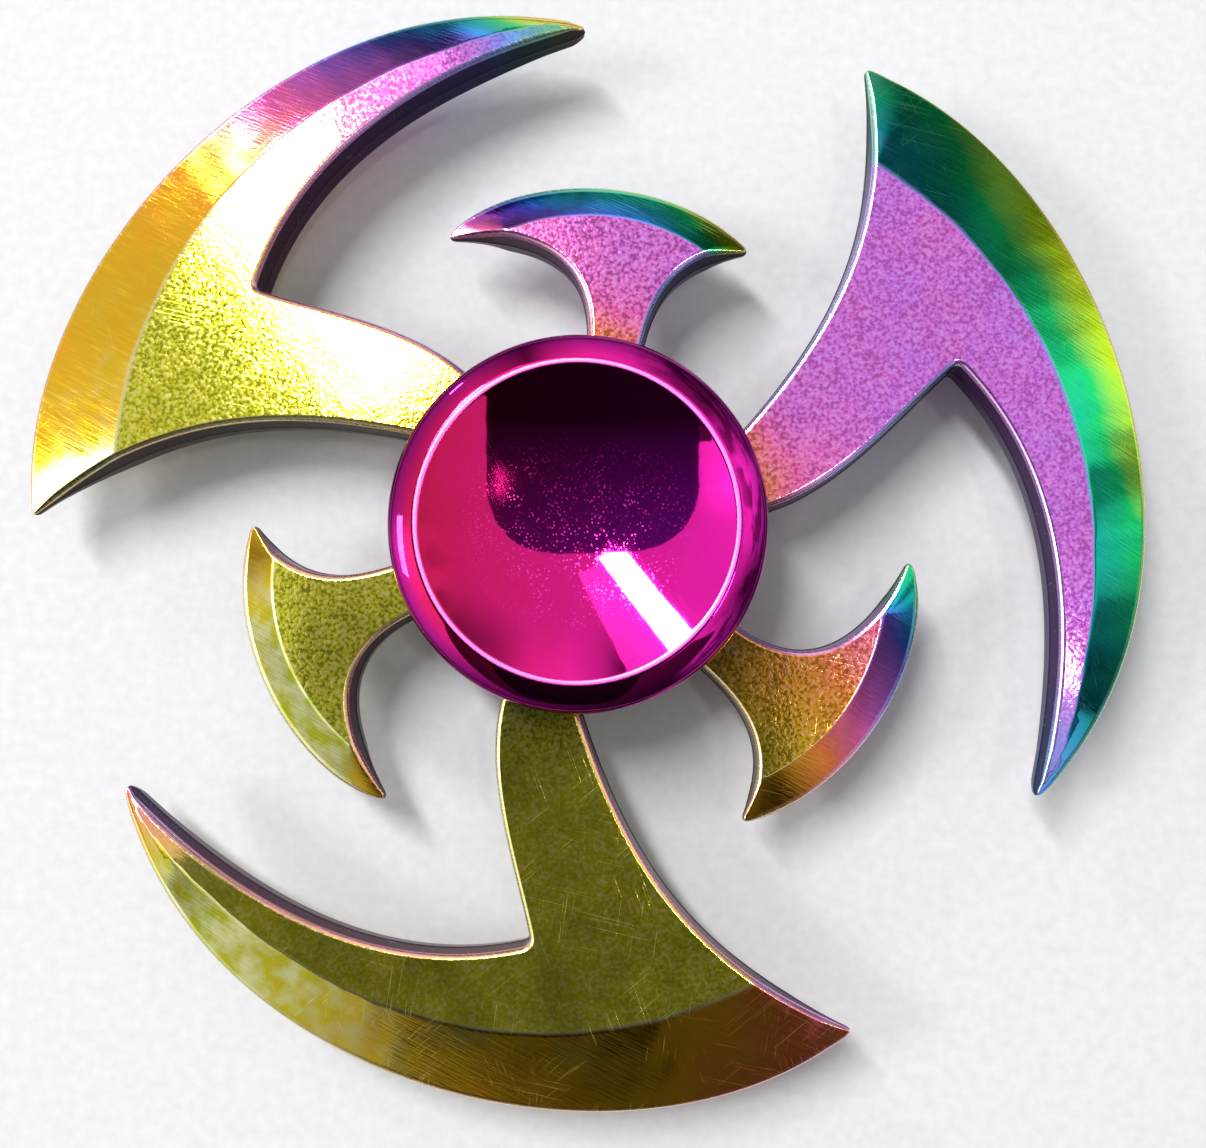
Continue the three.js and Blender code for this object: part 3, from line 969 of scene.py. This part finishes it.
class Plating(Finish):
    """Rainbow plating on the casting: pebbled flats, polished slopes, and rims with a painted
    highlight.
    """

    def __init__(self):
        super().__init__("rainbow_plating")
        self.slope, self.wall = self.attribute("slope"), self.attribute("wall")
        rim, pebble = self.attribute("rim"), self.attribute("pebble")
        self.off_wall = self.rest(self.wall)
        self.rim_highlight = self.times(rim, self.off_wall)
        self.flat = self.times(self.rest(self.slope), self.rest(rim))
        self.not_flat = self.rest(self.flat)
        self.pebbled = self.times(self.flat, pebble)
        self.pebbles = self.noise(PEBBLE_SIZE)
        self.streaks = self.noise(STREAK_SIZE, 3.0, turn=STREAK_TURN)
        fewer = self.between(pebble, 0.2, 1.0, 1.0, 0.2)
        self.hairs = self.times(self.scratches(), fewer)
        self.set(Base_Color=self.color(), Metallic=self.metal(), Roughness=self.roughness())
        # The side walls' tint is painted shade.
        self.set(Specular_Tint=self.mix(self.wall, WHITE, WALL_SHADE_TINT), Specular_IOR_Level=0.04)
        self.set(Normal=self.relief())

    def scratches(self):
        """Hairline scratches, each kind with its own turn and length, in patches of its own."""
        total = 0.0
        for turn, length, patch in SCRATCHES:
            lines = self.between(self.noise((SCRATCH_WIDTH, length, 1.0), turn=turn), 0.7, 0.76)
            here = self.between(self.noise(patch), 0.5, 0.6)
            total = self.calc("ADD", total, self.times(lines, here), clamp=True)
        return total

    def color(self):
        """The film's colour, with painted shade on the side walls and in the pebbles' pits, painted
        highlights on the rims, the pebbles' peaks and the crease, pale painted sheen in patches on the
        slopes, and pale scratches.
        """
        grain = self.times(self.calc("SUBTRACT", self.pebbles, 0.5), self.pebbled, FILM_SPREAD)
        patches = self.times(self.calc("SUBTRACT", self.noise(PATCH_SIZE, 2.0), 0.5), FILM_SPREAD)
        phase = self.calc("ADD", self.calc("ADD", self.attribute("film"), grain), patches)
        first, last = FILM_COLOURS[0][0], FILM_COLOURS[-1][0]
        stops = [((at - first) / (last - first), linear(*color)) for at, color in FILM_COLOURS]
        film = self.ramp(self.between(phase, first, last), stops)

        # Painted highlight: the rims are mixed partly towards white.
        color = self.mix(self.times(self.rim_highlight, 0.4), film, WHITE)
        # Painted shade: the side walls are turned almost fully to a dark violet.
        color = self.mix(self.times(self.wall, 0.96), color, WALL_PAINTED_SHADE)
        # Painted shade in the hollows of the pebbled faces.
        pit_shade = self.times(self.between(self.pebbles, 0.47, 0.38), self.flat)
        pit_shade = self.times(pit_shade, self.between(self.pebbled, 0.0, 1.0, 0.1, 0.5))
        color = self.mix(pit_shade, color, PIT_SHADE)
        # Painted highlights on the tops of the pebbles.
        peak_highlights = self.times(self.between(self.pebbles, 0.54, 0.64), self.flat)
        color = self.mix(self.times(peak_highlights, 0.16), color, PEAK_HIGHLIGHT)
        # Painted highlight: a pale line along the crease where each flat face turns into its slope.
        crease = self.times(self.slope, self.rest(self.slope), self.off_wall, 1.6)
        color = self.mix(crease, color, self.mix(0.45, film, WHITE))
        # Painted sheen: pale patches on the slopes where the film is at its thin, gold end.
        pale_sheen = self.between(self.noise(PALE_SIZE, 4.0), 0.4, 0.62)
        pale_sheen = self.times(self.between(phase, 0.05, -0.04), pale_sheen, self.slope, self.off_wall)
        color = self.mix(self.times(pale_sheen, 0.7), color, SLOPE_SHEEN)
        return self.mix(self.times(self.hairs, 0.25), color, SCRATCH_PALE)

    def metal(self):
        """Full metal, but for the side walls, made dark as painted shade, a light haze, and the
        scratches.
        """
        haze = self.between(self.noise(HAZE_SIZE, 6.0, rough=0.7), 0.38, 0.78, 0.45, 1.0)
        haze = self.times(haze, self.flat, self.attribute("dullness"))
        dull = self.calc("ADD", haze, self.times(self.hairs, 0.3))
        return self.times(self.rest(self.times(self.wall, 0.92)), self.rest(dull))

    def roughness(self):
        satin = self.times(self.between(self.pebbles, 0.3, 0.7, 0.045, 0.095), self.flat)
        polished = self.times(self.between(self.streaks, 0.3, 0.75, 0.05, 0.2), self.not_flat)
        rough = self.calc("ADD", satin, polished)
        return self.calc("ADD", rough, self.times(self.rim_highlight, 0.15))

    def relief(self):
        normal = self.bump(self.times(self.pebbles, self.pebbled), PEBBLE_DEPTH)
        normal = self.bump(self.times(self.noise(WAVE_SIZE), self.flat), WAVE_DEPTH, normal)
        normal = self.bump(self.times(self.streaks, self.not_flat), STREAK_DEPTH, normal)
        return self.bump(self.hairs, -SCRATCH_DEPTH, normal)


def magenta_finish():
    """Mirror plating with dust and faint wiping marks, painted light from crimson at -X to lighter
    pink at +X, painted shade on the shoulder, and a painted highlight line at the crest.
    """
    m = Finish("magenta_plating")
    across = m.add("ShaderNodeSeparateXYZ", {0: m.place}).outputs
    level = m.add("ShaderNodeCombineXYZ", {0: across[0], 1: across[1]}).outputs[0]
    radius = m.add("ShaderNodeVectorMath", {0: level}, operation="LENGTH").outputs["Value"]
    # Painted light: the cap runs from crimson at -X to a lighter pink at +X, broken up by clouds.
    clouds = m.times(m.calc("SUBTRACT", m.noise(4.0, 2.0), 0.5), 0.3)
    side = m.calc("ADD", m.between(across[0], -9 * MM, 9 * MM), clouds, clamp=True)
    color = m.mix(side, CAP_RED, CAP_PINK)
    # Painted shade: the shoulder outside the crest is darkened.
    shoulder_shade = m.between(radius, 10.55 * MM, 11.7 * MM)
    color = m.mix(m.times(shoulder_shade, 0.9), color, SHOULDER_PAINTED_SHADE)
    # Painted highlight: a pale pink line round the crest of the dish.
    off_crest = m.calc("ABSOLUTE", m.calc("SUBTRACT", radius, CREST_MIDDLE * MM))
    crest_highlight = m.rest(m.between(off_crest, CREST_LINE[0] * MM, CREST_LINE[1] * MM))
    color = m.mix(m.times(crest_highlight, 0.7), color, CREST_HIGHLIGHT_PINK)
    dusty = m.times(m.between(across[1], 6 * MM, 0.5 * MM), m.between(radius, 8 * MM, 5 * MM))
    dusty = m.times(m.between(m.noise(DUST_PATCH, 3.0), 0.36, 0.56), dusty)
    specks = m.add("ShaderNodeTexVoronoi", {"Vector": m.mapped(DUST_SIZE, 0), "Scale": 1.0})
    dust = m.times(m.between(specks.outputs["Distance"], 0.34, 0.2), dusty)
    wiped = m.between(m.noise((0.06, 3.0, 1.0), 2.0, turn=25), 0.45, 0.8, 0.02, 0.07)
    rough = m.calc("ADD", wiped, m.times(dust, 0.14))
    rough = m.calc("ADD", rough, m.times(crest_highlight, 0.3))
    m.set(Base_Color=m.mix(m.times(dust, 0.3), color, DUST_PINK), Roughness=rough)
    m.set(Metallic=m.rest(m.times(dust, 0.22)), Coat_Weight=0.12, Coat_Roughness=0.02)
    m.set(Normal=m.bump(m.noise(1.6), 0.003))
    return m.material


def steel_finish(name, color, rough_low, rough_high, mark_size):
    """Bare steel with fine machining marks."""
    m = Finish(name)
    marks = m.noise(mark_size, 3.0)
    shade = m.mix(m.between(m.noise(0.8, 2.0), 0.3, 0.7), color, linear(150, 152, 156))
    m.set(Base_Color=shade, Metallic=1.0)
    m.set(Roughness=m.between(marks, 0.3, 0.7, rough_low, rough_high))
    m.set(Normal=m.bump(marks, 0.002))
    return m.material


# ---- Assembly ----

BRUSHED = (0.05, 0.9, 0.4)  # size of the marks of brushing
FINISHES = {
    "rainbow_plate": Plating().material,
    "magenta_plate": magenta_finish(),
    "bearing_steel": steel_finish("ground_bearing_steel", linear(206, 208, 212), 0.1, 0.26, BRUSHED),
    "ball_steel": steel_finish("polished_ball_steel", linear(226, 228, 230), 0.03, 0.08, 0.4),
    "stamped_steel": steel_finish("stamped_sheet_steel", linear(184, 186, 188), 0.25, 0.42, BRUSHED),
}
CAP_STEPS, RACE_STEPS, SHIELD_STEPS = 288, 192, 160  # points round each turned piece


def place(piece, node, body, slot):
    piece.data.materials.append(FINISHES[slot])
    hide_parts(node)
    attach(piece, body)


def cap(name, profile):
    return lathe(name, eased(profile, CREST_ROUND, 6), CAP_STEPS)


def race(name, profile):
    return lathe(name, eased(profile, 0.12), RACE_STEPS)


place(casting(), "blade_frame", "rotor", "rainbow_plate")
place(cap("thumb_cap_upper", upper_cap_profile()), "cap_upper", "caps", "magenta_plate")
place(cap("thumb_cap_lower", lower_cap_profile()), "cap_lower", "caps", "magenta_plate")
place(race("race_outer", outer_race_profile()), "bearing_outer_race", "rotor", "bearing_steel")
place(race("race_inner", inner_race_profile()), "bearing_inner_race", "caps", "bearing_steel")
for side_name, side in (("upper", 1), ("lower", -1)):
    section = eased(shield_profile(), 0.05)
    section = section if side == 1 else flipped(section)
    shield = lathe(f"shield_plate_{side_name}", section, SHIELD_STEPS)
    ring = snap_ring(f"snap_wire_{side_name}", side)
    ribbon = cage_half(f"cage_ribbon_{side_name}", side)
    place(shield, f"shield_{side_name}", "rotor", "stamped_steel")
    place(ring, f"snap_ring_{side_name}", "rotor", "bearing_steel")
    place(ribbon, f"cage_half_{side_name}", "cage", "stamped_steel")
for number in range(BALL_COUNT):
    label = f"{number + 1:02d}"
    place(ball(f"steel_ball_{label}", number), f"bearing_ball_{label}", f"ball_{label}", "ball_steel")


# ---- Studio ----

CAMERA_PLACE = Vector((4.185, -10.539, 93.224))
CAMERA_TURN = (4.6581, 1.6272, 0.1432)  # degrees about X, Y and Z
LENS = 41.79
FLOOR_HALF = 900.0
CARD_FADE = 40.0  # length over which a card's glow changes


def camera():
    data = bpy.data.cameras.new("camera")
    data.lens = LENS
    data.clip_start = 0.002
    eye = bpy.data.objects.new("camera", data)
    turn = Euler([math.radians(angle) for angle in CAMERA_TURN])
    eye.matrix_world = Matrix.LocRotScale(CAMERA_PLACE * MM, turn, None)
    bpy.context.scene.collection.objects.link(eye)
    bpy.context.scene.camera = eye


def floor():
    m = Finish("pale_paper")
    fibres = m.noise(0.8, 3.0)
    shade = m.mix(m.between(fibres, 0.3, 0.7), linear(170, 170, 172), linear(177, 177, 179))
    m.set(Base_Color=shade, Roughness=0.85)
    half, z = FLOOR_HALF, -CAP_TOP
    corners = [(-half, -half, z), (half, -half, z), (half, half, z), (-half, half, z)]
    piece = mesh_object("floor", corners, [(0, 1, 2, 3)])
    piece.data.materials.append(m.material)


def softbox(name, azimuth, tilt, distance, across, along, radiance):
    """A rectangular light that faces the object, azimuth round from +X and tilt down from +Z."""
    data = bpy.data.lights.new(name, "AREA")
    data.shape = "RECTANGLE"
    data.size, data.size_y = across, along
    data.energy = radiance * math.pi * across * along
    a, t = math.radians(azimuth), math.radians(tilt)
    back = Vector((math.sin(t) * math.cos(a), math.sin(t) * math.sin(a), math.cos(t)))
    side = Vector((0, 0, 1)).cross(back).normalized()
    axes = Matrix((side, back.cross(side), back)).transposed()
    lamp = bpy.data.objects.new(name, data)
    lamp.matrix_world = Matrix.Translation(back * distance) @ axes.to_4x4()
    lamp.visible_camera = False
    bpy.context.scene.collection.objects.link(lamp)


def dark_card(name, left, right, front, back, level, near, far, corner=10.0):
    """A dark card above the object, seen only in its reflections. Its glow runs from the near
    colour at its front to the far colour at its back."""
    points = []
    for x, y, start in (
        (right - corner, back - corner, 0),
        (left + corner, back - corner, 90),
        (left + corner, front + corner, 180),
        (right - corner, front + corner, 270),
    ):
        for turn in np.radians(start + np.linspace(0, 90, 9)):
            points.append((x + corner * math.cos(turn), y + corner * math.sin(turn), level))
    m = Finish(name)
    depth = m.add("ShaderNodeSeparateXYZ", {0: m.place}).outputs[1]
    glow = m.mix(m.between(depth, (back - CARD_FADE) * MM, back * MM), (*near, 1), (*far, 1))
    m.set(Base_Color=(0, 0, 0, 1), Specular_IOR_Level=0.0, Roughness=1.0)
    m.set(Emission_Color=glow, Emission_Strength=1.0)
    card = mesh_object(name, points, [tuple(range(len(points)))])
    card.data.materials.append(m.material)
    card.visible_camera = False
    card.visible_diffuse = False
    card.visible_shadow = False


# Brightness of the room, well above the horizon, by the angle round from +X.
ROOM = [
    (-180, 2.4), (-166, 1.7), (-150, 1.4), (-130, 0.7), (-112, 0.35), (-90, 0.12), (-58, 0.08),
    (-46, 0.75), (-36, 0.8), (-25, 0.4), (-16, 0.14), (-6, 0.35), (4, 0.9), (25, 1.2), (38, 0.7),
    (50, 0.14), (64, 0.2), (78, 1.0), (92, 1.1), (101, 0.7), (108, 0.16), (116, 0.5),
    (126, 0.9), (150, 0.8), (168, 1.0), (180, 2.4),
]
ROOM_BRIGHTEST = 2.5
ROOM_SHAPES = 7.0  # how finely the room's right side is broken up
SKY = 0.8  # brightness straight above


def surroundings():
    """A plain soft sky, and a room low down round it, which the camera itself doesn't see."""
    world = bpy.data.worlds.new("soft_studio")
    bpy.context.scene.world = world
    world.use_nodes = True
    n = Nodes(world.node_tree)

    def blend(share, first, second):
        return n.add("ShaderNodeMix", {0: share, 2: first, 3: second}).outputs[0]

    way = n.add("ShaderNodeTexCoord").outputs["Generated"]
    x, y, z = n.add("ShaderNodeSeparateXYZ", {0: way}).outputs
    share = n.between(n.calc("ARCTAN2", y, x), -math.pi, math.pi)
    grey = [((angle + 180) / 360, (level / ROOM_BRIGHTEST,) * 3 + (1,)) for angle, level in ROOM]
    room = n.times(n.ramp(share, grey), ROOM_BRIGHTEST)
    shapes = n.add("ShaderNodeTexNoise", {"Vector": way, "Scale": ROOM_SHAPES}).outputs[0]
    shapes = n.between(shapes, 0.44, 0.56, 0.35, 1.3)
    room = n.times(room, blend(n.between(x, 0.1, 0.4), 1.0, shapes))
    room = n.times(room, n.between(z, 0.05, 0.4, 0.25, 1.0))
    level = blend(n.between(z, 0.76, 0.88), room, SKY)
    seen = n.add("ShaderNodeLightPath").outputs["Is Camera Ray"]
    background = n.tree.nodes["Background"].inputs
    n.put(blend(seen, level, SKY), background["Strength"])
    n.put(WHITE, background["Color"])


# Brightness of the cards, from what they stand for: the camera, its far edge, and a dim room.
NEAR_BLACK, DEEP_VIOLET = (0.012, 0.01, 0.016), (0.1, 0.1, 0.27)
DIM, HALF_LIT = (0.08, 0.08, 0.07), (0.42, 0.42, 0.4)

camera()
floor()
dark_card("camera_card", -43.0, 23.0, -132.0, 20.0, 94.5, NEAR_BLACK, DEEP_VIOLET, corner=19.0)
dark_card("front_card", -110.0, 32.0, -260.0, -25.0, 160.0, DIM, DIM)
dark_card("right_card", 12.0, 110.0, -260.0, -68.0, 161.0, DIM, DIM)
dark_card("hook_card", 16.0, 43.0, -64.0, 4.0, 162.0, HALF_LIT, HALF_LIT)
surroundings()
softbox("strip_light", 127.0, 30.0, 1.2, 0.125, 0.6, 75.0)
softbox("left_window", 179.0, 50.0, 1.2, 0.3, 0.2, 30.0)
softbox("upper_window", 129.5, 64.0, 1.2, 0.085, 0.08, 70.0)
softbox("right_window", -8.0, 15.0, 1.2, 0.12, 0.065, 55.0)
softbox("lamp_shade", 119.0, 31.0, 1.25, 0.28, 0.6, 1.2)
bpy.context.scene.view_settings.view_transform = "Standard"
